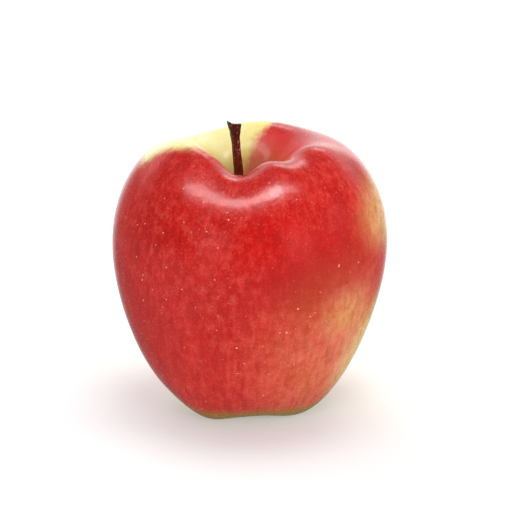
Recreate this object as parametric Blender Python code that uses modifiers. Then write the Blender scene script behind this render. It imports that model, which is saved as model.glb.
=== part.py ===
"""One fresh apple standing on its base: body, stem, dried sepals and the tuft of old stamens.

Run with:  blender --background --python part.py
Metres, +Z up. The base rests on z = 0 and the middle of the outline is over the origin.
"""
import math

import bmesh
import bpy
from mathutils import Vector

MM = 0.001
GAP = 0.3 * MM                     # left between pieces that touch

# ---- body: radius and height (mm) of each ring of the coarse cage, stem hollow to calyx hollow
RINGS = (
    (0.0, 55.0), (3.0, 55.5), (6.5, 60.0), (11.0, 69.2), (18.0, 76.0), (27.6, 74.4), (36.2, 64.0),
    (40.0, 50.5), (39.2, 36.0), (34.6, 20.0), (27.2, 6.6), (17.6, -1.9), (10.5, 2.6), (5.0, 9.3),
    (0.0, 11.0),
)
COLUMNS = 24
SMOOTH_LEVELS = 2

# ---- how the body swells and dips around its axis
# azimuth (degrees), crown lift, crown reach, lower cheek reach, foot lift, foot reach (mm)
AROUND = (
    (0.0, 0.5, 0.0, -1.4, 0.6, -1.5),       # right side
    (45.0, -0.5, 0.5, -0.5, 0.0, 0.5),      # back right
    (80.0, 1.0, 0.5, 0.0, -0.4, 0.5),       # back lobe and its foot
    (130.0, -4.0, 0.0, 0.0, 1.2, 0.0),      # back left saddle
    (178.0, 0.5, 0.5, -0.6, 0.1, 0.5),      # left side
    (208.0, 5.5, 0.5, 0.0, 0.8, 1.0),       # left lobe, the tallest
    (238.0, 2.5, 0.0, 0.0, -0.8, 3.5),      # front left foot
    (263.0, -5.6, -0.5, 0.0, 1.2, 1.5),     # front dip, the deepest
    (288.0, 2.0, 0.0, 0.0, 1.0, 0.5),       # front right lobe
    (308.0, -1.0, 0.0, 0.0, -0.5, 2.0),     # crease above the front right foot
    (330.0, 3.5, 0.5, -1.2, 0.0, 1.5),      # right lobe
)
CROWN_LIFT, CROWN_REACH, CHEEK_REACH, FOOT_LIFT, FOOT_REACH = range(1, 6)

# where each of those acts from the stem hollow (0) to the calyx hollow (1): middle, spread
CROWN_BAND = (0.27, 0.10)
CHEEK_BAND = (0.63, 0.12)
FOOT_BAND = (0.77, 0.08)

PLEATS = 5                         # folds around the calyx hollow
PLEAT_DEPTH = 1.5                  # mm
PLEAT_TURN = 240.0                 # degrees
PLEAT_BAND = (0.89, 0.05)

HOLLOW_X = -2.0                    # mm, the stem hollow lies to the left of the middle
HOLLOW_FADE = (0.10, 0.45)         # share of the way down over which that sideways set dies out
BODY_X = 0.2                       # mm, brings the middle of the whole outline over the origin

# ---- base: the lobes are flattened where the fruit rests
REST_Z = 0.0
REST_CUTTER_SIDE = 120.0 * MM
REST_CUTTER_DEPTH = 20.0 * MM

# ---- stem: x, y, z (mm) and radius (mm) along it, from inside the flesh to above the torn tip
STEM_PATH = (
    (-1.7, 0.0, 51.6, 1.3), (-1.95, 0.0, 54.5, 1.3), (-2.4, 0.0, 59.0, 1.3), (-2.9, 0.0, 64.0, 1.28),
    (-3.2, 0.1, 69.0, 1.22), (-3.7, 0.1, 74.0, 1.18), (-4.0, 0.1, 77.5, 1.25), (-4.15, 0.0, 80.0, 1.5),
    (-4.4, 0.0, 82.2, 1.85), (-4.6, 0.0, 84.2, 2.0),
)
STEM_TIP = (-4.4, 0.0, 81.3)       # mm, a point on the torn end
STEM_TIP_TILT = (math.radians(22.0), math.radians(19.0), 0.0)
STEM_BEVEL_RESOLUTION = 4
SOCKET_TOP = 62.0                  # mm, above the floor of the stem hollow
TIP_CUTTER_SIDE = 12.0 * MM

# ---- calyx: a small pit in the base holds the dried stamens, five dried sepals stand round it
PIT_RADIUS = 2.2 * MM
PIT_ROOF = 14.0 * MM
PIT_MOUTH = 5.0 * MM
TUFT_ROOF = PIT_ROOF - GAP
TUFT_TIP = 6.6 * MM
TUFT_RADIUS = PIT_RADIUS - GAP
TUFT_WAIST = 0.55                  # share of the radius left at the lower end
SEPALS = 5
SEPAL_TURN = 18.0                  # degrees
SEPAL_LENGTH = 5.6 * MM
SEPAL_WIDTH = 3.0 * MM
SEPAL_THICKNESS = 0.6 * MM
SEPAL_FOOT_RADIUS = 3.1 * MM       # from the axis to the end that grows from the fruit
SEPAL_FOOT_Z = 9.1 * MM
SEPAL_SPREAD = 0.30                # outward lean at the foot, growing towards the tip
SEPAL_CURL = 0.75
SEPAL_CUP = 0.18


def clear_scene():
    """Remove every object, collection and material that is in the file."""
    for thing in list(bpy.data.objects):
        bpy.data.objects.remove(thing, do_unlink=True)
    for group in list(bpy.data.collections):
        bpy.data.collections.remove(group)
    for store in (bpy.data.meshes, bpy.data.curves, bpy.data.materials):
        for block in list(store):
            store.remove(block)


def new_collection(name):
    """Make a collection under the scene's own."""
    group = bpy.data.collections.new(name)
    bpy.context.scene.collection.children.link(group)
    return group


def new_material(name, colour, roughness):
    """Make a plain Principled material."""
    material = bpy.data.materials.new(name)
    material.use_nodes = True
    shader = material.node_tree.nodes["Principled BSDF"]
    shader.inputs["Base Color"].default_value = (*colour, 1.0)
    shader.inputs["Roughness"].default_value = roughness
    shader.inputs["Metallic"].default_value = 0.0
    material.diffuse_color = (*colour, 1.0)
    return material


def add_object(name, data, group):
    """Link mesh or curve data to a collection as a named object."""
    thing = bpy.data.objects.new(name, data)
    group.objects.link(thing)
    return thing


def finish(thing, material):
    """Give a piece its material and smooth shading."""
    thing.data.materials.clear()
    thing.data.materials.append(material)
    for face in thing.data.polygons:
        face.use_smooth = True


def as_cutter(thing):
    """Keep a cutting shape out of the render and out of the way."""
    thing.hide_render = True
    thing.display_type = "WIRE"


def cut(thing, cutter, name):
    """Take a cutter's shape out of a piece."""
    modifier = thing.modifiers.new(name, "BOOLEAN")
    modifier.operation = "DIFFERENCE"
    modifier.solver = "EXACT"
    modifier.object = cutter


def ease(share):
    """Smooth step from 0 to 1."""
    share = min(max(share, 0.0), 1.0)
    return share * share * (3.0 - 2.0 * share)


def band(place, middle_and_spread):
    """Bell-shaped weight of a band of the body, 1 at its middle."""
    middle, spread = middle_and_spread
    return math.exp(-((place - middle) / spread) ** 2)


def around(azimuth, column):
    """One column of AROUND at an azimuth, eased between the places on either side."""
    azimuth = azimuth % 360.0
    places = list(AROUND) + [(AROUND[0][0] + 360.0, *AROUND[0][1:])]
    for here, there in zip(places, places[1:]):
        if here[0] <= azimuth < there[0]:
            share = ease((azimuth - here[0]) / (there[0] - here[0]))
            return here[column] + share * (there[column] - here[column])
    return places[0][column]


def cage_point(row, azimuth):
    """Place of one cage corner in millimetres."""
    radius, height = RINGS[row]
    place = row / (len(RINGS) - 1)
    angle = math.radians(azimuth)
    if radius > 0.0:
        crown = band(place, CROWN_BAND)
        foot = band(place, FOOT_BAND)
        radius += crown * around(azimuth, CROWN_REACH)
        radius += band(place, CHEEK_BAND) * around(azimuth, CHEEK_REACH)
        radius += foot * around(azimuth, FOOT_REACH)
        height += crown * around(azimuth, CROWN_LIFT) + foot * around(azimuth, FOOT_LIFT)
        fold = math.cos(PLEATS * math.radians(azimuth - PLEAT_TURN))
        height -= PLEAT_DEPTH * band(place, PLEAT_BAND) * fold
    start, end = HOLLOW_FADE
    aside = HOLLOW_X * (1.0 - ease((place - start) / (end - start)))
    return Vector((BODY_X + aside + radius * math.cos(angle), radius * math.sin(angle), height))


def make_body(group):
    """The fruit: a ball of rings moved to the cage places, then smoothed."""
    rows = len(RINGS) - 1
    shape = bmesh.new()
    bmesh.ops.create_uvsphere(shape, u_segments=COLUMNS, v_segments=rows, radius=1.0)
    for corner in shape.verts:
        height = min(max(corner.co.z, -1.0), 1.0)
        row = round(math.acos(height) / math.pi * rows)
        step = round(math.atan2(corner.co.y, corner.co.x) / math.tau * COLUMNS)
        corner.co = cage_point(row, step * 360.0 / COLUMNS) * MM
    mesh = bpy.data.meshes.new("fruit_body")
    shape.to_mesh(mesh)
    shape.free()
    body = add_object("fruit_body", mesh, group)
    smooth = body.modifiers.new("smooth", "SUBSURF")
    smooth.levels = SMOOTH_LEVELS
    smooth.render_levels = SMOOTH_LEVELS
    return body


def box_cutter(name, side, bottom, top, group):
    """A square box between two heights about its own origin, for flattening."""
    shape = bmesh.new()
    bmesh.ops.create_cube(shape, size=1.0)
    for corner in shape.verts:
        height = bottom + (corner.co.z + 0.5) * (top - bottom)
        corner.co = Vector((corner.co.x * side, corner.co.y * side, height))
    mesh = bpy.data.meshes.new(name)
    shape.to_mesh(mesh)
    shape.free()
    cutter = add_object(name, mesh, group)
    as_cutter(cutter)
    return cutter


def tube(name, path, extra, group):
    """A round bar of changing radius along a path, as a closed mesh object."""
    curve = bpy.data.curves.new(name, "CURVE")
    curve.dimensions = "3D"
    curve.bevel_depth = MM
    curve.bevel_resolution = STEM_BEVEL_RESOLUTION
    curve.use_fill_caps = True
    line = curve.splines.new("POLY")
    line.points.add(len(path) - 1)
    for point, (x, y, z, radius) in zip(line.points, path):
        point.co = (x * MM, y * MM, z * MM, 1.0)
        point.radius = radius + extra / MM
    guide = add_object(name + "_guide", curve, group)
    bpy.context.view_layer.update()
    evaluated = guide.evaluated_get(bpy.context.evaluated_depsgraph_get())
    mesh = bpy.data.meshes.new_from_object(evaluated)
    mesh.transform(guide.matrix_world)
    bpy.data.objects.remove(guide, do_unlink=True)
    shape = bmesh.new()
    shape.from_mesh(mesh)
    bmesh.ops.remove_doubles(shape, verts=shape.verts, dist=0.01 * MM)
    bmesh.ops.recalc_face_normals(shape, faces=shape.faces)
    shape.to_mesh(mesh)
    shape.free()
    mesh.name = name
    return add_object(name, mesh, group)


def make_stem(group, cutters):
    """The stem with its torn, slanting end."""
    stem = tube("stem", STEM_PATH, 0.0, group)
    trim = box_cutter("stem_tip_cutter", TIP_CUTTER_SIDE, 0.0, TIP_CUTTER_SIDE, cutters)
    trim.location = Vector(STEM_TIP) * MM
    trim.rotation_euler = STEM_TIP_TILT
    cut(stem, trim, "torn_tip")
    return stem


def socket_cutter(cutters):
    """The stem's own foot grown by the gap, for the seat in the flesh."""
    low = [point for point in STEM_PATH if point[2] <= SOCKET_TOP]
    x, y, z, radius = low[0]
    low[0] = (x, y, z - GAP / MM, radius)
    seat = tube("stem_seat_cutter", low, GAP, cutters)
    as_cutter(seat)
    return seat


def cone(name, top, bottom, top_radius, bottom_radius, group):
    """A closed upright cone or cylinder between two heights on the axis."""
    shape = bmesh.new()
    bmesh.ops.create_cone(shape, cap_ends=True, segments=20, radius1=bottom_radius,
                          radius2=top_radius, depth=top - bottom)
    mesh = bpy.data.meshes.new(name)
    shape.to_mesh(mesh)
    shape.free()
    thing = add_object(name, mesh, group)
    thing.location = (BODY_X * MM, 0.0, (top + bottom) / 2.0)
    return thing


def make_sepal(index, group):
    """One dried sepal: a pointed leaf hanging from the rim of the pit and curling outwards."""
    shape = bmesh.new()
    bmesh.ops.create_grid(shape, x_segments=4, y_segments=6, size=0.5)
    for corner in shape.verts:
        along = corner.co.y + 0.5
        across = 2.0 * corner.co.x
        half = 0.5 * SEPAL_WIDTH * (1.0 - 0.86 * along ** 1.6)
        lean = SEPAL_SPREAD * along + SEPAL_CURL * along ** 3 / 3.0
        sag = SEPAL_CUP * SEPAL_WIDTH * across * across * (1.0 - along)
        corner.co = Vector((SEPAL_FOOT_RADIUS + lean * SEPAL_LENGTH - sag, across * half,
                            -along * SEPAL_LENGTH * (1.0 - 0.22 * along * along)))
    mesh = bpy.data.meshes.new(f"sepal_{index}")
    shape.to_mesh(mesh)
    shape.free()
    sepal = add_object(f"sepal_{index}", mesh, group)
    sepal.location = (BODY_X * MM, 0.0, SEPAL_FOOT_Z)
    sepal.rotation_euler = (0.0, 0.0, math.radians(SEPAL_TURN + (index - 1) * 360.0 / SEPALS))
    thick = sepal.modifiers.new("thickness", "SOLIDIFY")
    thick.thickness = SEPAL_THICKNESS
    thick.offset = 0.0
    smooth = sepal.modifiers.new("smooth", "SUBSURF")
    smooth.levels = 1
    smooth.render_levels = 1
    return sepal


def main():
    clear_scene()
    apple = new_collection("apple")
    cutters = new_collection("cutters")

    skin = new_material("apple_skin", (0.50, 0.018, 0.022), 0.32)
    bark = new_material("stem_bark", (0.085, 0.022, 0.016), 0.72)
    dried_leaf = new_material("dried_sepal", (0.16, 0.11, 0.055), 0.85)
    dried_thread = new_material("dried_stamen", (0.07, 0.035, 0.016), 0.9)

    body = make_body(apple)
    floor = box_cutter("rest_cutter", REST_CUTTER_SIDE, -REST_CUTTER_DEPTH, REST_Z, cutters)
    cut(body, floor, "rest_flats")
    cut(body, socket_cutter(cutters), "stem_seat")
    pit = cone("calyx_pit_cutter", PIT_ROOF, PIT_MOUTH, PIT_RADIUS, PIT_RADIUS, cutters)
    as_cutter(pit)
    cut(body, pit, "calyx_pit")
    finish(body, skin)

    finish(make_stem(apple, cutters), bark)
    tuft = cone("stamen_tuft", TUFT_ROOF, TUFT_TIP, TUFT_RADIUS, TUFT_RADIUS * TUFT_WAIST, apple)
    finish(tuft, dried_thread)
    for index in range(1, SEPALS + 1):
        finish(make_sepal(index, apple), dried_leaf)
    bpy.context.view_layer.update()


main()
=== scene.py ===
import math

import bmesh
import bpy
import numpy as np
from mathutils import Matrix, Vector, noise


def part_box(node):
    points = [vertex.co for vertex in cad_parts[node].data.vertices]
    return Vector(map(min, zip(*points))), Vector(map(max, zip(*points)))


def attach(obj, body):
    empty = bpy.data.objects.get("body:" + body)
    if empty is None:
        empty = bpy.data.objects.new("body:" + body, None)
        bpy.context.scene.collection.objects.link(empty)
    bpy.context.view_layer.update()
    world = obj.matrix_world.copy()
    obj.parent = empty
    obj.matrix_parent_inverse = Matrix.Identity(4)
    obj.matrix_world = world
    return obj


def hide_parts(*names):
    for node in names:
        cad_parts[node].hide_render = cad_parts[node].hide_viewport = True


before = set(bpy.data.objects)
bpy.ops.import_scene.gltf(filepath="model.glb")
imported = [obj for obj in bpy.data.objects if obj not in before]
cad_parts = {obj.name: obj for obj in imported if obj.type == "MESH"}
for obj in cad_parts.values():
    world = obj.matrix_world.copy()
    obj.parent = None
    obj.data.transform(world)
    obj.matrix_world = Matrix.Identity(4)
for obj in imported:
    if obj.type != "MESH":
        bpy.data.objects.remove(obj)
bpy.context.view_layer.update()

MM = 0.001

# ------------------------------------------------------------------ shape of the fruit, as in the CAD
# radius and height (mm) from the bottom of the stem hollow, over the cheek, to the calyx hollow
RINGS = (
    (0.0, 55.0), (3.0, 55.5), (6.5, 60.0), (11.0, 69.2), (18.0, 76.0), (27.6, 74.4), (36.2, 64.0),
    (40.0, 50.5), (39.2, 36.0), (34.6, 20.0), (27.2, 6.6), (17.6, -1.9), (10.5, 2.6), (5.0, 9.3),
    (0.0, 11.0),
)
COLUMNS = 24
SKIN_LEVELS = 4
# azimuth (degrees), crown lift, crown reach, lower cheek reach, foot lift, foot reach (mm)
AROUND = (
    (0.0, 0.5, 0.0, -1.4, 0.6, -1.5),
    (45.0, -0.5, 0.5, -0.5, 0.0, 0.5),
    (80.0, 1.0, 0.5, 0.0, -0.4, 0.5),
    (130.0, -4.0, 0.0, 0.0, 1.2, 0.0),
    (178.0, 0.5, 0.5, -0.6, 0.1, 0.5),
    (208.0, 5.5, 0.5, 0.0, 0.8, 1.0),
    (238.0, 2.5, 0.0, 0.0, -0.8, 3.5),
    (263.0, -5.6, -0.5, 0.0, 1.2, 1.5),
    (288.0, 2.0, 0.0, 0.0, 1.0, 0.5),
    (308.0, -1.0, 0.0, 0.0, -0.5, 2.0),
    (330.0, 3.5, 0.5, -1.2, 0.0, 1.5),
)
CROWN_LIFT, CROWN_REACH, CHEEK_REACH, FOOT_LIFT, FOOT_REACH = range(1, 6)
# middle and spread of each band, as a share of the way through RINGS
CROWN_BAND = (0.27, 0.10)
CHEEK_BAND = (0.63, 0.12)
FOOT_BAND = (0.77, 0.08)
PLEATS = 5
PLEAT_DEPTH = 1.5
PLEAT_TURN = 240.0
PLEAT_BAND = (0.89, 0.05)
HOLLOW_X = -2.0
HOLLOW_FADE = (0.10, 0.45)
BODY_X = 0.2

# ------------------------------------------------------------------ camera
VIEW_ELEVATION = math.radians(19.0)
VIEW_DISTANCE = 0.75
VIEW_TARGET = Vector((1.75, 1.44, 41.7)) * MM
LENS = 186.7
SENSOR = 36.0


# ------------------------------------------------------------------ shape helpers
def ease(share):
    """Smooth step from 0 to 1."""
    share = min(max(share, 0.0), 1.0)
    return share * share * (3.0 - 2.0 * share)


def band(place, middle_and_spread):
    """Bell curve round a middle."""
    middle, spread = middle_and_spread
    return math.exp(-((place - middle) / spread) ** 2)


def around(azimuth, column):
    """Value of one column of AROUND at an azimuth, eased between its rows."""
    azimuth = azimuth % 360.0
    places = list(AROUND) + [(AROUND[0][0] + 360.0, *AROUND[0][1:])]
    for here, there in zip(places, places[1:]):
        if azimuth < there[0]:
            break
    share = ease((azimuth - here[0]) / (there[0] - here[0]))
    return here[column] + share * (there[column] - here[column])


def cage_point(row, azimuth):
    """Corner (mm) of the cage that the skin is smoothed from."""
    radius, height = RINGS[row]
    place = row / (len(RINGS) - 1)
    angle = math.radians(azimuth)
    if radius > 0.0:
        crown = band(place, CROWN_BAND)
        foot = band(place, FOOT_BAND)
        radius += crown * around(azimuth, CROWN_REACH)
        radius += band(place, CHEEK_BAND) * around(azimuth, CHEEK_REACH)
        radius += foot * around(azimuth, FOOT_REACH)
        height += crown * around(azimuth, CROWN_LIFT) + foot * around(azimuth, FOOT_LIFT)
        fold = math.cos(PLEATS * math.radians(azimuth - PLEAT_TURN))
        height -= PLEAT_DEPTH * band(place, PLEAT_BAND) * fold
    start, end = HOLLOW_FADE
    aside = HOLLOW_X * (1.0 - ease((place - start) / (end - start)))
    return Vector((BODY_X + aside + radius * math.cos(angle), radius * math.sin(angle), height))


def link(name, data):
    thing = bpy.data.objects.new(name, data)
    bpy.context.scene.collection.objects.link(thing)
    return thing


def to_mesh(name, shape):
    mesh = bpy.data.meshes.new(name)
    shape.to_mesh(mesh)
    shape.free()
    return mesh


def smooth_faces(mesh):
    mesh.polygons.foreach_set("use_smooth", [True] * len(mesh.polygons))
    mesh.update()


def join_rings(shape, low, high):
    """Faces between two closed rings with the same number of corners."""
    turned = zip(low, low[1:] + low[:1], high[1:] + high[:1], high)
    return [shape.faces.new(corners) for corners in turned]


def close_ring(shape, ring, hub):
    """Faces from a closed ring to one corner in its middle."""
    return [shape.faces.new((here, there, hub)) for here, there in zip(ring, ring[1:] + ring[:1])]


# ------------------------------------------------------------------ node helpers
class Graph:
    """Short calls for building one material's nodes."""

    def __init__(self, name):
        self.material = bpy.data.materials.new(name)
        self.material.use_nodes = True
        self.tree = self.material.node_tree
        self.shader = self.tree.nodes["Principled BSDF"]

    def node(self, kind, **values):
        made = self.tree.nodes.new(kind)
        for key, value in values.items():
            setattr(made, key, value)
        return made

    def put(self, socket, value):
        if isinstance(value, bpy.types.NodeSocket):
            self.tree.links.new(value, socket)
        else:
            socket.default_value = value

    def set(self, **values):
        """Shader inputs by name, with underscores for spaces."""
        for name, value in values.items():
            self.put(self.shader.inputs[name.replace("_", " ")], value)

    def math(self, kind, a, b=0.0, c=0.0):
        made = self.node("ShaderNodeMath", operation=kind)
        for socket, value in zip(made.inputs, (a, b, c)):
            self.put(socket, value)
        return made.outputs[0]

    def add(self, a, b):
        return self.math("ADD", a, b)

    def less(self, a, b):
        return self.math("SUBTRACT", a, b)

    def times(self, a, b):
        return self.math("MULTIPLY", a, b)

    def over(self, a, b):
        return self.math("DIVIDE", a, b)

    def most(self, a, b):
        return self.math("MAXIMUM", a, b)

    def least(self, a, b):
        return self.math("MINIMUM", a, b)

    def times_add(self, a, b, c):
        return self.math("MULTIPLY_ADD", a, b, c)

    def hypot(self, a, b):
        return self.math("SQRT", self.add(self.times(a, a), self.times(b, b)))

    def union(self, a, b):
        """Two shares laid over each other."""
        return self.less(self.add(a, b), self.times(a, b))

    def vector(self, kind, a, b=(0.0, 0.0, 0.0), scale=None):
        made = self.node("ShaderNodeVectorMath", operation=kind)
        self.put(made.inputs[0], a)
        self.put(made.inputs[1], b)
        if scale is not None:
            self.put(made.inputs["Scale"], scale)
        return made.outputs["Value"] if kind == "LENGTH" else made.outputs[0]

    def combine(self, x, y, z):
        made = self.node("ShaderNodeCombineXYZ")
        for socket, value in zip(made.inputs, (x, y, z)):
            self.put(socket, value)
        return made.outputs[0]

    def split(self, value):
        made = self.node("ShaderNodeSeparateXYZ")
        self.put(made.inputs[0], value)
        return made.outputs

    def noise(self, place, scale, detail, roughness):
        made = self.node("ShaderNodeTexNoise")
        self.put(made.inputs["Vector"], place)
        made.inputs["Scale"].default_value = scale
        made.inputs["Detail"].default_value = detail
        made.inputs["Roughness"].default_value = roughness
        return made.outputs["Fac"]

    def stretched_noise(self, place, stretch, scale, detail, roughness):
        return self.noise(self.vector("MULTIPLY", place, stretch), scale, detail, roughness)

    def cells(self, place, scale):
        made = self.node("ShaderNodeTexVoronoi")
        self.put(made.inputs["Vector"], place)
        made.inputs["Scale"].default_value = scale
        return made.outputs["Distance"], made.outputs["Color"]

    def span(self, value, low, high, out_low=0.0, out_high=1.0, kind="SMOOTHSTEP"):
        """Value taken from low..high to out_low..out_high, and held at the ends."""
        made = self.node("ShaderNodeMapRange", interpolation_type=kind)
        self.put(made.inputs["Value"], value)
        self.put(made.inputs["From Min"], low)
        self.put(made.inputs["From Max"], high)
        self.put(made.inputs["To Min"], out_low)
        self.put(made.inputs["To Max"], out_high)
        return made.outputs["Result"]

    def straight(self, value, low, high, out_low, out_high):
        return self.span(value, low, high, out_low, out_high, "LINEAR")

    def mix(self, share, a, b):
        made = self.node("ShaderNodeMix", data_type="RGBA")
        self.put(made.inputs[0], share)
        for socket, value in ((made.inputs[6], a), (made.inputs[7], b)):
            self.put(socket, (*value, 1.0) if isinstance(value, tuple) else value)
        return made.outputs[2]

    def bump(self, height, strength, distance):
        made = self.node("ShaderNodeBump")
        made.inputs["Strength"].default_value = strength
        made.inputs["Distance"].default_value = distance
        self.put(made.inputs["Height"], height)
        return made.outputs[0]

    def place_mm(self):
        """Object coordinates in millimetres."""
        source = self.node("ShaderNodeTexCoord")
        return self.vector("SCALE", source.outputs["Object"], scale=1.0 / MM)


# ------------------------------------------------------------------ skin: colours
RED_DEEP = (0.40, 0.003, 0.002)
RED_MID = (0.55, 0.007, 0.004)
RED_LIGHT = (0.67, 0.082, 0.055)
RED_FULL = (0.56, 0.003, 0.002)
RED_INSIDE = (0.74, 0.008, 0.005)
YELLOW = (0.90, 0.76, 0.22)
YELLOW_PALE = (0.92, 0.83, 0.40)
YELLOW_GREEN = (0.76, 0.68, 0.13)
OLIVE = (0.50, 0.36, 0.008)
RUSSET = (0.60, 0.12, 0.004)
# russet of the hollow floor, darkened as painted shade in the deepest part
HOLLOW_FLOOR_RUSSET_AND_SHADE = (0.42, 0.20, 0.012)
# dark olive under the base: an olive ground, darkened as painted shade
UNDER_TINT_AND_SHADE = (0.29, 0.22, 0.012)
DOT = (0.95, 0.52, 0.40)

# ------------------------------------------------------------------ skin: patterns
# In every span of the skin, four numbers are: from, to, value at from, value at to.
# Two numbers are from and to, for a value that runs from 0 to 1.

# along the meridians: scale round the fruit, scale along it (per mm), detail, roughness
STREAK_PATTERNS = {
    "fine_streak": (50.0, 0.110, 4.0, 0.60),
    "broad_streak": (14.0, 0.055, 3.0, 0.55),
    "fleck": (24.0, 0.300, 4.0, 0.62),
    "blotch": (9.0, 0.110, 3.0, 0.55),
}
# the same in every direction: scale (per mm), detail, roughness
EVEN_PATTERNS = {
    "cloud": (0.075, 3.0, 0.50),
    "mottle": (0.42, 5.0, 0.62),
    "grain": (1.5, 3.0, 0.60),
}
AXIS_GUARD = 0.5        # mm, keeps the streaks steady at the core
CROWN_RUN = -0.6        # lets streaks shorten as they turn in over the crown
HALF = 0.5              # mean of every pattern

# how far each pattern pushes a colour border (mm)
WANDER = (("fine_streak", 1.0), ("broad_streak", 3.0), ("mottle", 4.5))
# how the edges of the patches wander, as a share of their size, more on the far side (by y)
FAR_SIDE = (-12.0, 12.0)
SIDE_WANDER = 0.09
SIDE_WANDER_FAR = 0.10
SIDE_DRIFT_FAR = 2.6

# ------------------------------------------------------------------ skin: yellow of the crown
# borders as seen from above, a x + b y + c: mm beyond the line
LEFT_BORDER = (0.334, 0.943, 17.8)
LEFT_BULGE = (-27.0, -19.0, 0.0, 1.6)
LEFT_RETREAT = (-19.0, -11.0, 0.0, 3.3)
LEFT_SOFTENING = (-21.0, -14.0, 1.0, 0.5)
LEFT_BLUR = (-1.9, 1.9)
RIGHT_BORDER = (-0.815, 0.58, -6.2)
RIGHT_BLUR = (-1.5, 1.9)
BORDER_WANDER = 0.6
# inside the stem hollow, yellow left of a line that slants to the left in front, where it drifts
HOLLOW_BORDER_X = 1.5
HOLLOW_BORDER_SLOPE = 0.5
HOLLOW_DRIFT = (4.0, -6.0, 0.0, 14.0)
# lower edge, outside the stem hollow: its height and its softness (mm) by y
LOW_HEIGHT = (0.0, 22.0, 71.6, 58.0)
LOW_SOFTNESS = (-2.0, 20.0, 1.6, 12.0)
LOW_WANDER = 0.5
# by distance from the core: yellow all the way down inside this
HOLLOW_RIM = (24.0, 20.0, -1.6, 1.6)

# ------------------------------------------------------------------ skin: patches on the sides
# where the red flush thins and the yellow ground shows: azimuth (degrees), height (mm),
# half width (degrees), half height (mm), softness, share of yellow
THIN_FLUSH = (
    (-45.0, 22.0, 31.0, 20.0, 0.90, 0.12),
    (-44.0, 35.0, 11.0, 6.0, 0.90, 0.20),
    (-6.0, 16.0, 31.0, 17.0, 0.50, 0.62),
    (0.0, 58.0, 28.0, 9.0, 0.60, 0.45),
    (34.0, 38.0, 30.0, 26.0, 0.60, 0.58),
    (116.0, 38.0, 44.0, 34.0, 0.50, 0.66),
)
# where it is strongest, and where it darkens: darker patches on the front, and painted shade low on the
# left
FULL_FLUSH = (
    (-76.0, 59.0, 20.0, 10.0, 0.80, 0.90),
    (-46.0, 54.0, 14.0, 9.0, 0.80, 0.60),
)
DARK_FLUSH_AND_SHADE = (
    (-68.0, 45.0, 14.0, 8.0, 0.90, 0.85),
    (-49.0, 50.0, 16.0, 10.0, 0.90, 0.72),
    # painted shade: the lower left side darkened, as if turned away from the light
    (-150.0, 26.0, 20.0, 17.0, 0.90, 0.42),
)
# how the patterns break up the thin patches, everywhere and on the far side only
THIN_MOTTLE = (0.30, 0.70, 0.65, 1.35)
THIN_FLECK = (0.30, 0.70, -0.25, 0.25)
THIN_FINE_STREAK = (0.36, 0.64, -0.34, 0.34)
THIN_BROAD_STREAK = (0.36, 0.64, -0.42, 0.42)
# the thin patches stop short of the stem hollow: by height and by distance from the core
CLEAR_BELOW = (50.0, 44.0)
CLEAR_BEYOND = (20.0, 27.0)

# ------------------------------------------------------------------ skin: layers of tone
# pattern, value where the layer starts, value where it is full, its share
CLOUD_DEEP = ("cloud", 0.58, 0.40, 0.35)
LIGHT_LAYERS = (
    ("fleck", 0.49, 0.67, 0.38),
    ("mottle", 0.51, 0.67, 0.32),
    ("grain", 0.48, 0.66, 0.15),
    ("fine_streak", 0.50, 0.78, 0.08),
    ("broad_streak", 0.50, 0.72, 0.12),
)
DARK_LAYERS = (
    ("fleck", 0.50, 0.34, 0.50),
    ("mottle", 0.50, 0.34, 0.42),
    ("grain", 0.50, 0.34, 0.14),
    ("blotch", 0.49, 0.36, 0.52),
)
GREEN_LAYERS = (
    ("mottle", 0.45, 0.70, 0.35),
    ("fine_streak", 0.50, 0.75, 0.06),
)
GROUND_PALE = (0.42, 0.58)
CLOUD_IN_PALE = 2.0
# the flush is lighter low down, more so on the right: partly a paler flush, partly painted light and
# sheen from the pale floor and the lamps on the right
LOW_PALE_AND_PAINTED_LIGHT_Z = (50.0, 4.0)
LOW_PALE_AND_PAINTED_LIGHT_X = (-30.0, 10.0, 0.10, 0.36)
FULL_LOSES_LIGHT = -0.6
# a clearer red inside the stem hollow, by distance from its middle and by height
INSIDE_FLAT = (21.0, 15.0)
INSIDE_Z = (45.0, 55.0)
INSIDE_SHARE = 0.6

# ------------------------------------------------------------------ skin: stem hollow and base
# olive and russet low in the stem hollow, darker brown at its floor as painted shade, by distance from
# its middle and by height
DEEP_WANDER = 0.4
DEEP_FLAT = (16.0, 7.5)
DEEP_Z = (40.0, 50.0)
DEEP_SHARE = 0.88
DEEP_SIDES = (0.05, 0.95)       # russet where the skin is red, olive where it is yellow
FLOOR_FLAT = (8.5, 3.0, 0.0, 0.75)
# olive round the base, darkened as painted shade where it turns under, by height, by distance from the
# core and less on the left
UNDER_WANDER = 0.5
UNDER_Z = (7.0, 2.0)
UNDER_FLAT = (31.0, 24.0)
UNDER_X = (-24.0, 0.0, 0.55, 0.90)

# ------------------------------------------------------------------ skin: dots and finish
# larger dots: cells (per mm), share left out by height, radius and edge as a share of a cell
DOT_CELLS = 0.36
DOT_THINNING = (58.0, 22.0, 0.52, 0.16)
DOT_PICK = (0.0, 0.02)
DOT_RADIUS = 0.048
DOT_RADIUS_RANGE = 0.040
DOT_EDGE = (0.022, -0.022)
DOT_SHARE = 0.88
# fine dots, the same way
FINE_DOT_CELLS = 0.62
FINE_DOT_SHIFT = (13.1, 7.7, 3.9)
FINE_DOT_THINNING = 0.42
FINE_DOT_EDGE = (0.10, 0.06)
FINE_DOT_SHARE = 0.45
DOTS_ON_YELLOW = (0.3, 0.9, 1.0, 0.35)
SKIN_ROUGHNESS = (0.3, 0.7, 0.18, 0.30)
INSIDE_ROUGHER = 0.26
SKIN_IOR = 1.46
# natural wax
WAX_WEIGHT = 0.20
WAX_ROUGHNESS = 0.10
# height that each pattern adds, then the strength and depth (m) of the relief
RELIEF = (("grain", 0.35), ("fleck", 0.6), ("mottle", 1.6))
DOT_RELIEF = 0.5
SKIN_BUMP = (0.30, 0.00018)


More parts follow.
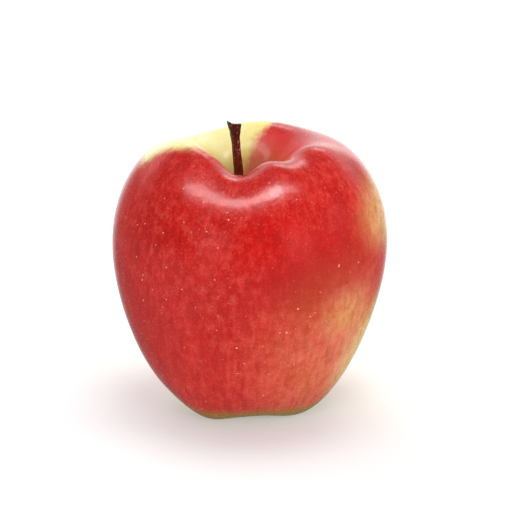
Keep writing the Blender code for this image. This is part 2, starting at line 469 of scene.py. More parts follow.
class Skin:
    """Places and patterns that the colour, borders and relief of the skin share."""

    def __init__(self, g):
        self.g = g
        self.place = g.place_mm()
        self.x, self.y, self.z = g.split(self.place)
        self.flat = g.most(g.hypot(self.x, self.y), AXIS_GUARD)
        self.azimuth = g.times(g.math("ARCTAN2", self.y, self.x), 180.0 / math.pi)
        self.hollow_flat = g.hypot(g.add(self.x, -HOLLOW_X - BODY_X), self.y)
        self.pattern = {name: self.streak(*values) for name, values in STREAK_PATTERNS.items()}
        for name, values in EVEN_PATTERNS.items():
            self.pattern[name] = g.noise(self.place, *values)
        self.wander = 0.0
        for name, reach in WANDER:
            self.wander = g.times_add(g.less(self.pattern[name], HALF), reach, self.wander)
        self.drift = g.less(self.pattern["cloud"], HALF)
        self.far = g.span(self.y, *FAR_SIDE)
        side_wander = g.times(self.wander, g.times_add(self.far, SIDE_WANDER_FAR, SIDE_WANDER))
        self.side_wander = g.times_add(g.times(self.drift, self.far), SIDE_DRIFT_FAR, side_wander)
        self.inside = g.times(g.span(self.hollow_flat, *INSIDE_FLAT), g.span(self.z, *INSIDE_Z))

    def streak(self, across_scale, run_scale, detail, roughness):
        """Noise drawn out along the meridians."""
        g = self.g
        across = [g.times(g.over(side, self.flat), across_scale) for side in (self.x, self.y)]
        run = g.times(g.times_add(self.flat, CROWN_RUN, self.z), run_scale)
        return g.noise(g.combine(*across, run), 1.0, detail, roughness)

    def line(self, a, b, c):
        return self.g.times_add(self.x, a, self.g.times_add(self.y, b, c))

    def layer(self, name, start, full, share):
        return self.g.times(self.g.span(self.pattern[name], start, full), share)

    def layers(self, table):
        """Share of several layers laid over each other."""
        total = self.layer(*table[0])
        for row in table[1:]:
            total = self.g.union(total, self.layer(*row))
        return total

    def patch(self, middle, level, half_width, half_height, soft, share):
        """Share of a soft oval patch on the side of the fruit."""
        g = self.g
        aside = g.over(g.less(self.azimuth, middle), half_width)
        above = g.over(g.less(self.z, level), half_height)
        away = g.add(g.hypot(aside, above), self.side_wander)
        return g.times(g.span(away, 1.0 + soft, 1.0 - soft), share)

    def patches(self, table):
        total = self.patch(*table[0])
        for row in table[1:]:
            total = self.g.union(total, self.patch(*row))
        return total


def crown_yellow(g, skin):
    """Share of yellow on the crown, behind the left border and left of the right one."""
    left = skin.line(*LEFT_BORDER)
    left = g.add(left, g.span(skin.x, *LEFT_BULGE))
    left = g.less(left, g.span(skin.x, *LEFT_RETREAT))
    left = g.times(left, g.span(skin.x, *LEFT_SOFTENING))
    left_share = g.span(g.times_add(skin.wander, BORDER_WANDER, left), *LEFT_BLUR)

    low = g.less(skin.z, g.span(skin.y, *LOW_HEIGHT))
    low = g.over(low, g.span(skin.y, *LOW_SOFTNESS))
    # inside the stem hollow the yellow runs right down the left wall
    low = g.most(low, g.straight(skin.flat, *HOLLOW_RIM))
    low_share = g.span(g.times_add(skin.wander, LOW_WANDER, low), -1.0, 1.0)

    right = skin.line(*RIGHT_BORDER)
    hollow = g.times(g.least(skin.y, 0.0), HOLLOW_BORDER_SLOPE)
    hollow = g.less(hollow, g.add(skin.x, HOLLOW_BORDER_X))
    hollow = g.add(hollow, g.times(skin.drift, g.span(skin.y, *HOLLOW_DRIFT)))
    right = g.most(right, hollow)
    right_share = g.span(g.times_add(skin.wander, BORDER_WANDER, right), *RIGHT_BLUR)
    return g.times(g.times(left_share, low_share), right_share)


def side_yellow(g, skin):
    """Share of yellow where the flush thins, broken up by the patterns."""
    uneven = g.add(g.straight(skin.pattern["mottle"], *THIN_MOTTLE),
                   g.straight(skin.pattern["fleck"], *THIN_FLECK))
    # the far side is more broken up, with streaks of flush running down over the yellow
    streaks = g.add(g.straight(skin.pattern["fine_streak"], *THIN_FINE_STREAK),
                    g.straight(skin.pattern["broad_streak"], *THIN_BROAD_STREAK))
    uneven = g.times_add(streaks, skin.far, uneven)
    outside = g.most(g.span(skin.z, *CLEAR_BELOW), g.span(skin.flat, *CLEAR_BEYOND))
    thin = g.times(g.times(skin.patches(THIN_FLUSH), outside), uneven)
    return g.least(g.most(thin, 0.0), 1.0)


def red_flush(g, skin):
    """The red, from deep to light."""
    full = skin.patches(FULL_FLUSH)
    red = g.mix(skin.layer(*CLOUD_DEEP), RED_MID, RED_DEEP)
    red = g.mix(full, red, RED_FULL)
    # partly painted light: the red lightened low down and on the right, as the floor and the right-hand
    # lamps would light it
    low_pale_and_painted_light = g.times(g.span(skin.z, *LOW_PALE_AND_PAINTED_LIGHT_Z), g.span(skin.x, *LOW_PALE_AND_PAINTED_LIGHT_X))
    light = g.union(skin.layers(LIGHT_LAYERS), low_pale_and_painted_light)
    light = g.times(light, g.times_add(full, FULL_LOSES_LIGHT, 1.0))
    red = g.mix(light, red, RED_LIGHT)
    # darker flecks and patches of flush, and painted shade low on the left
    dark = g.union(skin.layers(DARK_LAYERS), skin.patches(DARK_FLUSH_AND_SHADE))
    red = g.mix(dark, red, RED_DEEP)
    return g.mix(g.times(skin.inside, INSIDE_SHARE), red, RED_INSIDE)


def yellow_ground(g, skin):
    """The yellow, paler in clouds and greener in specks."""
    pale = g.times_add(skin.pattern["cloud"], CLOUD_IN_PALE, skin.pattern["mottle"])
    pale = g.over(pale, 1.0 + CLOUD_IN_PALE)
    ground = g.mix(g.span(pale, *GROUND_PALE), YELLOW, YELLOW_PALE)
    return g.mix(skin.layers(GREEN_LAYERS), ground, YELLOW_GREEN)


def tint_and_shade_ends(g, skin, colour, yellow):
    """The floor of the stem hollow and the base turned olive and brown, and darkened there as painted
    shade.
    """
    # olive and russet in the stem hollow, partly painted shade that deepens towards its floor
    deep = g.span(g.times_add(skin.wander, DEEP_WANDER, skin.hollow_flat), *DEEP_FLAT)
    deep = g.times(deep, g.span(skin.z, *DEEP_Z))
    tint = g.mix(g.span(yellow, *DEEP_SIDES), RUSSET, OLIVE)
    tint = g.mix(g.span(skin.hollow_flat, *FLOOR_FLAT), tint, HOLLOW_FLOOR_RUSSET_AND_SHADE)
    colour = g.mix(g.times(deep, DEEP_SHARE), colour, tint)
    # painted shade: dark olive under the base, where the skin turns under towards the floor
    under_tint_and_shade = g.span(g.times_add(skin.wander, UNDER_WANDER, skin.z), *UNDER_Z)
    under_tint_and_shade = g.times(under_tint_and_shade, g.span(skin.flat, *UNDER_FLAT))
    under_tint_and_shade = g.times(under_tint_and_shade, g.span(skin.x, *UNDER_X))
    return g.mix(under_tint_and_shade, colour, UNDER_TINT_AND_SHADE)


def skin_dots(g, skin, yellow):
    """Share of pale dots: a few larger ones, closer together low down, and many fine ones."""
    away, tint = g.cells(skin.place, DOT_CELLS)
    pick, size, _ = g.split(tint)
    keep = g.span(g.less(pick, g.span(skin.z, *DOT_THINNING)), *DOT_PICK)
    edge = g.less(away, g.times_add(size, DOT_RADIUS_RANGE, DOT_RADIUS))
    large = g.times(g.span(edge, *DOT_EDGE), keep)
    away, tint = g.cells(g.vector("ADD", skin.place, FINE_DOT_SHIFT), FINE_DOT_CELLS)
    pick, _, _ = g.split(tint)
    keep = g.span(g.less(pick, FINE_DOT_THINNING), *DOT_PICK)
    fine = g.times(g.span(away, *FINE_DOT_EDGE), g.times(keep, FINE_DOT_SHARE))
    dots = g.most(g.times(large, DOT_SHARE), fine)
    return g.times(dots, g.span(yellow, *DOTS_ON_YELLOW))


def skin_material():
    g = Graph("apple_skin_detail")
    skin = Skin(g)
    yellow = g.union(crown_yellow(g, skin), side_yellow(g, skin))
    colour = g.mix(yellow, red_flush(g, skin), yellow_ground(g, skin))
    colour = tint_and_shade_ends(g, skin, colour, yellow)
    dots = skin_dots(g, skin, yellow)
    height = g.times(dots, DOT_RELIEF)
    for name, share in RELIEF:
        height = g.times_add(skin.pattern[name], share, height)
    rough = g.times_add(skin.inside, INSIDE_ROUGHER, g.span(skin.pattern["grain"], *SKIN_ROUGHNESS))
    g.set(Base_Color=g.mix(dots, colour, DOT), Roughness=rough, IOR=SKIN_IOR, Coat_Weight=WAX_WEIGHT,
          Coat_Roughness=WAX_ROUGHNESS, Normal=g.bump(height, *SKIN_BUMP))
    return g.material


def make_skin():
    rows = len(RINGS) - 1
    shape = bmesh.new()
    bmesh.ops.create_uvsphere(shape, u_segments=COLUMNS, v_segments=rows, radius=1.0)
    for corner in shape.verts:
        height = min(max(corner.co.z, -1.0), 1.0)
        row = round(math.acos(height) / math.pi * rows)
        step = round(math.atan2(corner.co.y, corner.co.x) / math.tau * COLUMNS)
        corner.co = cage_point(row, step * 360.0 / COLUMNS) * MM
    source = link("skin_cage", to_mesh("skin_cage", shape))
    level = source.modifiers.new("smooth", "SUBSURF")
    level.levels = SKIN_LEVELS
    level.render_levels = SKIN_LEVELS
    bpy.context.view_layer.update()
    evaluated = source.evaluated_get(bpy.context.evaluated_depsgraph_get())
    mesh = bpy.data.meshes.new_from_object(evaluated)
    bpy.data.objects.remove(source, do_unlink=True)
    mesh.name = "apple_skin"
    # flat where it rests
    for corner in mesh.vertices:
        corner.co.z = max(corner.co.z, 0.0)
    smooth_faces(mesh)
    skin = link("apple_skin", mesh)
    mesh.materials.append(skin_material())
    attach(skin, "root")
    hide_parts("fruit_body")


# ------------------------------------------------------------------ stem
# x, y, z (mm) and radius (mm), from the seat to the torn end
STEM_PATH = (
    (-1.8, 0.0, 53.0, 1.28), (-1.98, 0.0, 55.0, 1.3), (-2.4, 0.0, 59.0, 1.3), (-2.9, 0.0, 64.0, 1.28),
    (-3.2, 0.1, 69.0, 1.22), (-3.7, 0.1, 74.0, 1.18), (-3.98, 0.1, 77.0, 1.26), (-4.1, 0.0, 79.2, 1.48),
    (-4.4, 0.0, 81.3, 1.80),
)
STEM_RINGS = 110
STEM_SIDES = 40
STEM_LOOK = 0.01            # how far each way the direction of the stem is taken, as a share
STEM_DEPTH = 0.94           # front to back, as a share of its width
# ribs along the bark: how many, turn per mm, share of the radius
STEM_RIBS = ((5.0, 0.24, 0.06), (9.0, -0.31, 0.05))
# knots: scale round, scale along (per mm), share of the radius low down and added from KNOTS_FROM
KNOT_ROUND = 1.7
KNOT_ALONG = 0.16 * KNOT_ROUND + 0.35
KNOT_SHARE = 0.48
KNOTS_LOW = 0.10
KNOTS_HIGH = 0.22
KNOTS_FROM = 73.0
KNOTS_RISE = 5.0
# the flared end: where it starts, how much wider it is side to side
FLARE_FROM = 0.80
FLARE_WIDE = 0.10
# the end is torn: a horn on the left, a lower tip on the right, hollow between them (mm)
END_X = -4.4
END_HALF = 1.9
END_SLANT = 0.75
END_HORN = 0.42
END_HORN_POWER = 2.2
END_DROP = 0.35
END_RAGGED = 0.30
END_NEAR_LIFT = 0.26        # mm up for each mm towards the near side
# rings of the torn face: share of the outline, how far it is sunk (mm)
END_RINGS = ((0.86, 0.03), (0.66, 0.22), (0.42, 0.34), (0.20, 0.30))
END_ROUGH = 0.10
END_HUB_SINK = 0.28

# stretch of the place, scale (per mm), detail, roughness
BARK_FIBRE = ((1.0, 1.0, 0.22), 2.4, 5.0, 0.65)
BARK_WRINKLE = ((0.8, 0.8, 0.5), 2.6, 4.0, 0.6)
BARK_GLINT_PATTERN = ((1.0, 1.0, 0.7), 1.7, 2.0, 0.5)
BARK_PATCHES = (0.55, 3.0, 0.5)
END_FIBRE = ((1.0, 1.0, 0.4), 3.5, 4.0, 0.6)
BARK_DARK = (0.060, 0.003, 0.002)
BARK_LIGHT = (0.24, 0.016, 0.007)
BARK_PATCH = (0.36, 0.060, 0.028)
BARK_TIP = (0.035, 0.001, 0.001)
# pale pink of the painted glints, flecks that stand in for highlights on the bark
BARK_PAINTED_GLINT = (0.62, 0.36, 0.33)
BARK_TONE = (0.35, 0.68)
BARK_PATCH_SPAN = (0.50, 0.70, 0.0, 0.35)
# by height: darker towards the end, with more painted glints there: pale flecks that stand in for
# highlights
BARK_TIP_Z = (71.0, 79.0, 0.0, 0.80)
GLINTS_FROM = (64.0, 74.0, 0.66, 0.57)
GLINTS_TO = 0.72
GLINTS_SHARE = 0.75
BARK_ROUGHNESS = (0.3, 0.7, 0.30, 0.5)
BARK_SPECULAR = 0.35
BARK_BUMP = (0.7, 0.0005)
FIBRE_RELIEF = 0.5
PITH_DARK = (0.30, 0.17, 0.08)
PITH_LIGHT = (0.72, 0.58, 0.38)
TORN_DARK = (0.035, 0.006, 0.004)
TORN_LIGHT = (0.16, 0.075, 0.04)
PITH_TONE = (0.40, 0.60)
TORN_TONE = (0.36, 0.64)
PITH_X = (-3.5, -4.5)
END_ROUGHNESS = 0.8
END_BUMP = (0.8, 0.0004)


def stem_spot(share):
    """Middle and radius (mm) along the stem, by a smooth curve through STEM_PATH."""
    last = len(STEM_PATH) - 1
    place = min(share * last, last - 1e-6)
    index = int(place)
    t = place - index
    a, b, c, d = [np.array(STEM_PATH[min(max(index + k, 0), last)]) for k in (-1, 0, 1, 2)]
    bend = (2 * a - 5 * b + 4 * c - d) * t * t + (3 * b - a - 3 * c + d) * t ** 3
    return 0.5 * (2 * b + (c - a) * t + bend)


def stem_material():
    g = Graph("stem_bark_detail")
    p = g.place_mm()
    _, _, z = g.split(p)
    fibre = g.stretched_noise(p, *BARK_FIBRE)
    wrinkle = g.stretched_noise(p, *BARK_WRINKLE)
    glint_pattern = g.stretched_noise(p, *BARK_GLINT_PATTERN)
    colour = g.mix(g.span(fibre, *BARK_TONE), BARK_DARK, BARK_LIGHT)
    colour = g.mix(g.span(g.noise(p, *BARK_PATCHES), *BARK_PATCH_SPAN), colour, BARK_PATCH)
    colour = g.mix(g.span(z, *BARK_TIP_Z), colour, BARK_TIP)
    # painted glints: pale pink flecks, more of them towards the end, standing in for highlights
    painted_glints = g.span(glint_pattern, g.span(z, *GLINTS_FROM), GLINTS_TO, 0.0, GLINTS_SHARE)
    colour = g.mix(painted_glints, colour, BARK_PAINTED_GLINT)
    height = g.times_add(fibre, FIBRE_RELIEF, wrinkle)
    g.set(Base_Color=colour, Roughness=g.span(fibre, *BARK_ROUGHNESS), Specular_IOR_Level=BARK_SPECULAR,
          Normal=g.bump(height, *BARK_BUMP))
    return g.material


def cut_material():
    """The torn face: dark, with tan pith showing on the left."""
    g = Graph("stem_end_detail")
    p = g.place_mm()
    x, _, _ = g.split(p)
    fibre = g.stretched_noise(p, *END_FIBRE)
    pith = g.mix(g.span(fibre, *PITH_TONE), PITH_DARK, PITH_LIGHT)
    torn = g.mix(g.span(fibre, *TORN_TONE), TORN_DARK, TORN_LIGHT)
    colour = g.mix(g.span(g.add(x, fibre), *PITH_X), torn, pith)
    g.set(Base_Color=colour, Roughness=END_ROUGHNESS, Normal=g.bump(fibre, *END_BUMP))
    return g.material


def stem_radius(radius, z, angle, flare):
    """Radius (mm) of the bark, with its ribs, knots and flare."""
    swell = 1.0
    for count, turn, share in STEM_RIBS:
        swell += share * math.sin(count * angle + turn * z)
    spot = Vector((KNOT_ROUND * math.cos(angle), KNOT_ROUND * math.sin(angle), KNOT_ALONG * z))
    knots = KNOTS_LOW + KNOTS_HIGH * ease((z - KNOTS_FROM) / KNOTS_RISE)
    swell += knots * KNOT_SHARE * noise.noise(spot)
    return radius * swell * (1.0 + FLARE_WIDE * flare * math.cos(2.0 * angle))


def stem_rings():
    """Rings of points (mm) from the seat to the torn end."""
    rings = []
    for k in range(STEM_RINGS):
        share = k / (STEM_RINGS - 1)
        x, y, z, radius = stem_spot(share)
        ahead = stem_spot(min(share + STEM_LOOK, 1.0)) - stem_spot(max(share - STEM_LOOK, 0.0))
        forward = Vector(ahead[:3]).normalized()
        side = forward.cross(Vector((0.0, 1.0, 0.0))).normalized()
        front = side.cross(forward)
        flare = ease((share - FLARE_FROM) / (1.0 - FLARE_FROM))
        ring = []
        for s in range(STEM_SIDES):
            angle = math.tau * s / STEM_SIDES
            across = stem_radius(radius, z, angle, flare)
            point = Vector((x, y, z)) - side * (math.cos(angle) * across)
            point += front * (math.sin(angle) * across * STEM_DEPTH)
            left = (END_X - point.x) / END_HALF
            point.z += flare * (END_SLANT * left + END_HORN * abs(left) ** END_HORN_POWER - END_DROP)
            point.z += flare * END_RAGGED * noise.noise(Vector((angle * 2.0, 3.1, 0.4)))
            point.z -= flare * END_NEAR_LIFT * (point.y - y)
            ring.append(point)
        rings.append(ring)
    return rings


def make_stem():
    shape = bmesh.new()
    rings = [[shape.verts.new(point * MM) for point in ring] for ring in stem_rings()]
    for low, high in zip(rings, rings[1:]):
        join_rings(shape, low, high)
    foot = shape.verts.new(sum((v.co for v in rings[0]), Vector()) / STEM_SIDES)
    close_ring(shape, rings[0], foot)
    # torn end: rings that step inwards, sinking a little to a fibrous middle
    top = rings[-1]
    middle = sum((v.co for v in top), Vector()) / STEM_SIDES
    outer = top
    torn_faces = []
    for share, sink in END_RINGS:
        inner = []
        for s, corner in enumerate(top):
            spot = middle + (corner.co - middle) * share
            rough = noise.noise(Vector((s * 0.9, share * 7.0, 1.7)))
            spot.z -= (sink + END_ROUGH * rough) * MM
            inner.append(shape.verts.new(spot))
        faces = join_rings(shape, outer, inner)
        # the outermost ring of faces is still bark
        if outer is not top:
            torn_faces += faces
        outer = inner
    hub = shape.verts.new(middle - Vector((0.0, 0.0, END_HUB_SINK * MM)))
    torn_faces += close_ring(shape, outer, hub)
    for face in torn_faces:
        face.material_index = 1
    bmesh.ops.recalc_face_normals(shape, faces=shape.faces)
    mesh = to_mesh("apple_stem", shape)
    smooth_faces(mesh)
    stem = link("apple_stem", mesh)
    mesh.materials.append(stem_material())
    mesh.materials.append(cut_material())
    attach(stem, "root")
    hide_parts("stem")


# ------------------------------------------------------------------ dried flower end
DRIED_FIBRE = ((1.0, 1.0, 0.35), 3.0, 5.0, 0.65)
DRIED_TONE = (0.34, 0.68)
DRIED_ROUGHNESS = 0.88
DRIED_BUMP = (0.7, 0.0003)
SEPAL_DARK = (0.075, 0.045, 0.020)
SEPAL_LIGHT = (0.30, 0.22, 0.12)
STAMEN_DARK = (0.025, 0.012, 0.006)
STAMEN_LIGHT = (0.16, 0.09, 0.04)

SEPAL_NODES = [f"sepal_{k}" for k in range(1, 6)]
SEPAL_ALONG = 26
SEPAL_ACROSS = 12
SEPAL_FIRST_TURN = 18.0
SEPAL_HALF_WIDTH = 1.45
SEPAL_TAPER = (0.97, 1.7)       # share of the width lost at the tip, and how late
SEPAL_WAVE = (0.12, 9.0)        # share of the width, waves along
SEPAL_OUT = (3.15, 1.65, 1.25)  # from the axis: at the root, gained evenly, gained late (mm)
SEPAL_CURL = (0.45, 0.4)        # mm at the sides, share lost towards the tip
SEPAL_CREASE = (0.08, 7.0)      # mm, creases across
SEPAL_RIPPLE = (0.22, 1.6, 4.0, 3.7)    # mm, then how fast it changes across, along, between sepals
SEPAL_THICKNESS = 0.32
SEPAL_REACH = 0.97              # share of its node's height

STAMENS = 19
STAMEN_SIDES = 7
STAMEN_STEPS = 12
GOLDEN_ANGLE = 2.399963
STAMEN_LENGTH = (0.86, 0.14)    # share of the node's height, and how much it varies
STAMEN_SPREAD = (0.50, 0.95)    # from the axis: at the root, gained at the tip (mm)
STAMEN_SWAY = (0.22, 4.0)       # angle, waves along
STAMEN_RADIUS = 0.15
STAMEN_KNOB = (0.14, 0.82, 0.12)        # mm wider, from this share of the length, over this share
STAMEN_POINT = (0.75, 0.95, 0.05)       # share narrower, from this share of the length, over this share


def dried_material(name, dark, light):
    g = Graph(name)
    p = g.place_mm()
    fibre = g.stretched_noise(p, *DRIED_FIBRE)
    g.set(Base_Color=g.mix(g.span(fibre, *DRIED_TONE), dark, light), Roughness=DRIED_ROUGHNESS,
          Normal=g.bump(fibre, *DRIED_BUMP))
    return g.material


def sepal_point(number, along, across):
    """Distance out, distance aside (mm) of a point on a sepal, before it is turned round the core."""
    lost, late = SEPAL_TAPER
    half = SEPAL_HALF_WIDTH * (1.0 - lost * along ** late)
    half *= 1.0 + SEPAL_WAVE[0] * math.sin(along * SEPAL_WAVE[1] + number)
    out = SEPAL_OUT[0] + SEPAL_OUT[1] * along + SEPAL_OUT[2] * along ** 3
    out -= SEPAL_CURL[0] * across * across * (1.0 - SEPAL_CURL[1] * along)
    out += SEPAL_CREASE[0] * math.cos(across * SEPAL_CREASE[1])
    ripple, faster_across, faster_along, apart = SEPAL_RIPPLE
    out += ripple * noise.noise(Vector((across * faster_across, along * faster_along, number * apart)))
    return out, across * half


def make_sepals():
    material = dried_material("dried_sepal_detail", SEPAL_DARK, SEPAL_LIGHT)
    for number, node in enumerate(SEPAL_NODES):
        low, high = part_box(node)
        turn = math.radians(SEPAL_FIRST_TURN + number * 360.0 / len(SEPAL_NODES))
        top = high[2]
        drop = (high[2] - low[2]) * SEPAL_REACH
        shape = bmesh.new()
        sheet = []
        for i in range(SEPAL_ALONG + 1):
            along = i / SEPAL_ALONG
            row = []
            for j in range(SEPAL_ACROSS + 1):
                out, aside = sepal_point(number, along, 2.0 * j / SEPAL_ACROSS - 1.0)
                x = out * math.cos(turn) - aside * math.sin(turn) + BODY_X
                y = out * math.sin(turn) + aside * math.cos(turn)
                row.append(shape.verts.new((x * MM, y * MM, top - along * drop)))
            sheet.append(row)
        for near, far in zip(sheet, sheet[1:]):
            for j in range(SEPAL_ACROSS):
                shape.faces.new((near[j], near[j + 1], far[j + 1], far[j]))
        mesh = to_mesh(f"dried_{node}", shape)
        smooth_faces(mesh)
        sepal = link(f"dried_{node}", mesh)
        mesh.materials.append(material)
        thick = sepal.modifiers.new("thickness", "SOLIDIFY")
        thick.thickness = SEPAL_THICKNESS * MM
        thick.offset = 0.0
        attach(sepal, "root")
        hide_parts(node)


def stamen_ring(number, along):
    """Middle across and thickness (mm) of one dried thread, which ends in a small knob."""
    reach = math.sqrt((number + 0.5) / STAMENS)
    radius = reach * (STAMEN_SPREAD[0] + STAMEN_SPREAD[1] * along)
    angle = number * GOLDEN_ANGLE + STAMEN_SWAY[0] * math.sin(along * STAMEN_SWAY[1] + number)
    wider, start, rise = STAMEN_KNOB
    thick = STAMEN_RADIUS + wider * ease((along - start) / rise)
    narrower, start, fall = STAMEN_POINT
    thick *= 1.0 - narrower * ease((along - start) / fall)
    return radius * math.cos(angle) + BODY_X, radius * math.sin(angle), thick


def make_stamens():
    low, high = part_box("stamen_tuft")
    shape = bmesh.new()
    for number in range(STAMENS):
        share, change = STAMEN_LENGTH
        share += change * noise.noise(Vector((number * 1.7, 0.3, 0.9)))
        length = (high[2] - low[2]) * share
        rings = []
        for i in range(STAMEN_STEPS + 1):
            along = i / STAMEN_STEPS
            x, y, thick = stamen_ring(number, along)
            ring = []
            for s in range(STAMEN_SIDES):
                angle = math.tau * s / STAMEN_SIDES
                place = ((x + thick * math.cos(angle)) * MM, (y + thick * math.sin(angle)) * MM)
                ring.append(shape.verts.new((*place, high[2] - along * length)))
            rings.append(ring)
        for near, far in zip(rings, rings[1:]):
            join_rings(shape, near, far)
        shape.faces.new(rings[0])
        shape.faces.new(rings[-1])
    bmesh.ops.recalc_face_normals(shape, faces=shape.faces)
    mesh = to_mesh("dried_stamens", shape)
    smooth_faces(mesh)
    tuft = link("dried_stamens", mesh)
    mesh.materials.append(dried_material("dried_stamen_detail", STAMEN_DARK, STAMEN_LIGHT))
    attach(tuft, "root")
    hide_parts("stamen_tuft")


# ------------------------------------------------------------------ floor
WHITE = (1.0, 1.0, 1.0, 1.0)
FLOOR_RADIUS = 6.0
FLOOR_SIDES = 96
# the lit floor gives way, between these distances (mm), to a glow that meets the backdrop
FLOOR_FAR = (450.0, 2400.0)
FLOOR_PALE = (0.70, 0.70, 0.705)
FLOOR_FAR_DARK = (0.03, 0.03, 0.03)
FLOOR_GLOW = (0.28, 0.95)
FLOOR_ROUGHNESS = 0.9
FLOOR_SPECULAR = 0.1


def make_floor():
    shape = bmesh.new()
    bmesh.ops.create_circle(shape, cap_ends=True, segments=FLOOR_SIDES, radius=FLOOR_RADIUS)
    mesh = to_mesh("floor", shape)
    floor = link("floor", mesh)
    g = Graph("floor_pale")
    far = g.span(g.vector("LENGTH", g.place_mm()), *FLOOR_FAR)
    g.set(Base_Color=g.mix(far, FLOOR_PALE, FLOOR_FAR_DARK), Emission_Color=WHITE,
          Emission_Strength=g.straight(far, 0.0, 1.0, *FLOOR_GLOW), Roughness=FLOOR_ROUGHNESS,
          Specular_IOR_Level=FLOOR_SPECULAR)
    mesh.materials.append(g.material)
    floor.visible_glossy = False


# ------------------------------------------------------------------ surroundings
BACKDROP = 0.98             # as the camera sees it
# soft light, from a darker front to a pale back (by y)
SOFT_FRONT = 0.17
SOFT_BACK = 0.90
SOFT_TURN = (-0.35, 0.25)
# what reflections show: darker in front, overhead and below, paler behind
GLOSS_FRONT = 0.10
GLOSS_BACK = 1.0
GLOSS_HORIZON = 1.4
GLOSS_LOW = 0.20
GLOSS_LOW_LEFT = 0.30
GLOSS_LOW_BACK = 0.95
# where each begins and ends, by the x, y or z of the direction
LOW_Z = (0.15, -0.25)
LOW_LEFT_X = (-0.3, -0.85)
LOW_LEFT_Y = (0.5, -0.2)
LOW_BACK_Y = (0.80, 0.95)
BEHIND_Y = (0.20, 0.75)
BEHIND_TOP_Z = (0.88, 0.50)
BEHIND_FOOT_Z = (-0.05, 0.40)
HORIZON_Y = (0.90, 0.98)
HORIZON_Z = (0.40, 0.15)


class Surroundings:
    """Short calls for building the world's nodes."""

    def __init__(self, world):
        self.tree = world.node_tree
        self.tree.nodes.clear()

    def node(self, kind):
        return self.tree.nodes.new(kind)

    def put(self, socket, value):
        if isinstance(value, float):
            socket.default_value = value
        else:
            self.tree.links.new(value, socket)

    def background(self, strength):
        made = self.node("ShaderNodeBackground")
        made.inputs["Color"].default_value = WHITE
        self.put(made.inputs["Strength"], strength)
        return made.outputs[0]

    def ramp(self, value, low, high, out_low=0.0, out_high=1.0):
        made = self.node("ShaderNodeMapRange")
        made.interpolation_type = "SMOOTHSTEP"
        names = ("Value", "From Min", "From Max", "To Min", "To Max")
        for name, number in zip(names, (value, low, high, out_low, out_high)):
            self.put(made.inputs[name], number)
        return made.outputs[0]

    def times(self, a, b):
        made = self.node("ShaderNodeMath")
        made.operation = "MULTIPLY"
        self.put(made.inputs[0], a)
        self.put(made.inputs[1], b)
        return made.outputs[0]

    def choose(self, by, a, b):
        made = self.node("ShaderNodeMixShader")
        for socket, value in zip(made.inputs, (by, a, b)):
            self.put(socket, value)
        return made.outputs[0]


def gloss_level(w, x, y, z):
    """Brightness that a reflection finds in a direction."""
    low_left = w.times(w.ramp(x, *LOW_LEFT_X), w.ramp(y, *LOW_LEFT_Y))
    low = w.ramp(low_left, 0.0, 1.0, GLOSS_LOW, GLOSS_LOW_LEFT)
    low = w.ramp(y, *LOW_BACK_Y, low, GLOSS_LOW_BACK)
    level = w.ramp(z, *LOW_Z, GLOSS_FRONT, low)
    behind = w.times(w.ramp(y, *BEHIND_Y), w.ramp(z, *BEHIND_TOP_Z))
    behind = w.times(behind, w.ramp(z, *BEHIND_FOOT_Z))
    level = w.ramp(behind, 0.0, 1.0, level, GLOSS_BACK)
    horizon = w.times(w.ramp(y, *HORIZON_Y), w.ramp(z, *HORIZON_Z))
    return w.ramp(horizon, 0.0, 1.0, level, GLOSS_HORIZON)


def make_world():
    world = bpy.data.worlds.new("studio")
    bpy.context.scene.world = world
    world.use_nodes = True
    # each kind of ray meets its own backdrop, so none is sampled for them all at once
    world.cycles.sampling_method = "NONE"
    w = Surroundings(world)
    direction = w.node("ShaderNodeSeparateXYZ")
    w.put(direction.inputs[0], w.node("ShaderNodeTexCoord").outputs["Generated"])
    x, y, z = direction.outputs
    level = gloss_level(w, x, y, z)
    soft = w.ramp(y, *SOFT_TURN, SOFT_FRONT, SOFT_BACK)
    path = w.node("ShaderNodeLightPath")
    lit = w.choose(path.outputs["Is Glossy Ray"], w.background(soft), w.background(level))
    seen = w.choose(path.outputs["Is Camera Ray"], lit, w.background(BACKDROP))
    w.put(w.node("ShaderNodeOutputWorld").inputs[0], seen)


# ------------------------------------------------------------------ lights
LIGHT_AIM = (0.0, 0.0, 0.04)
# soft lights for the colour of the skin, not seen in it: place (m), width, height (m), radiance
SOFT_LIGHTS = {
    "front_left": ((-0.85, -1.45, 0.55), 0.8, 0.8, 5.6),
    "front_right": ((1.15, -1.25, 0.45), 0.8, 0.8, 5.8),
    "right_fill": ((1.5, -0.2, 0.5), 0.7, 0.7, 3.8),
    "top_fill": ((0.1, 0.2, 1.7), 0.8, 0.8, 4.6),
    "back_fill": ((-0.6, 1.5, 1.2), 0.9, 0.8, 2.6),
    "left_back": ((-1.1, 0.8, 1.2), 0.8, 0.8, 1.0),
}
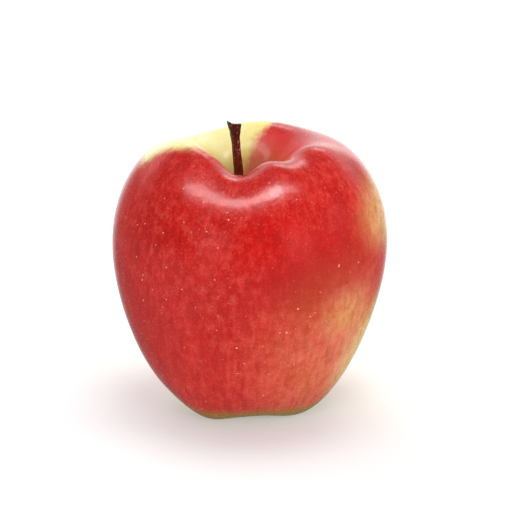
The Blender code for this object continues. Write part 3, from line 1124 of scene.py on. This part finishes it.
# panel behind whose reflection pales the lips of the stem hollow
LIP_PANEL = ((0.24, 1.22, 1.08), 0.55, 0.30, 3.0)
LIP_AIM = (0.0, 0.0, 0.07)
# overhead panels whose reflections make the soft band below the front of the rim:
# middle (m), length, depth (m), turn (degrees), radiance
BAND_HEIGHT = 1.05
BAND_PANELS = {
    "band_left": ((-0.64, -0.38), 0.54, 0.24, -14.0, 8.5),
    "band_middle": ((-0.06, -0.38), 0.66, 0.24, 3.0, 8.5),
    "band_right": ((0.44, -0.26), 0.50, 0.22, 30.0, 5.5),
    "band_core": ((0.17, -0.35), 0.28, 0.16, 8.0, 28.0),
}


def area_light(name, place, width, height, radiance):
    data = bpy.data.lights.new(name, "AREA")
    data.shape = "RECTANGLE"
    data.size = width
    data.size_y = height
    data.energy = radiance * math.pi * width * height
    lamp = link(name, data)
    lamp.location = place
    lamp.visible_camera = False
    return lamp


def aim_light(lamp, target):
    aim = Vector(target) - lamp.location
    lamp.rotation_euler = aim.to_track_quat("-Z", "Y").to_euler()


def make_lights():
    for name, values in SOFT_LIGHTS.items():
        lamp = area_light(name, *values)
        aim_light(lamp, LIGHT_AIM)
        lamp.visible_glossy = False
    lip_panel = area_light("lip_panel", *LIP_PANEL)
    aim_light(lip_panel, LIP_AIM)
    lip_panel.visible_diffuse = False
    for name, (middle, length, depth, turn, radiance) in BAND_PANELS.items():
        lamp = area_light(name, (*middle, BAND_HEIGHT), length, depth, radiance)
        lamp.rotation_euler.z = math.radians(turn)
        lamp.visible_diffuse = False


def make_camera():
    data = bpy.data.cameras.new("camera")
    data.lens = LENS
    data.sensor_width = SENSOR
    data.clip_start = 0.01
    camera = link("camera", data)
    back = Vector((0.0, -math.cos(VIEW_ELEVATION), math.sin(VIEW_ELEVATION)))
    camera.location = VIEW_TARGET + back * VIEW_DISTANCE
    camera.rotation_euler = back.to_track_quat("Z", "Y").to_euler()
    bpy.context.scene.camera = camera


make_camera()
make_skin()
make_stem()
make_sepals()
make_stamens()
make_floor()
make_world()
make_lights()
bpy.context.scene.view_settings.view_transform = "Standard"
bpy.context.scene.view_settings.look = "None"

bpy.context.view_layer.update()
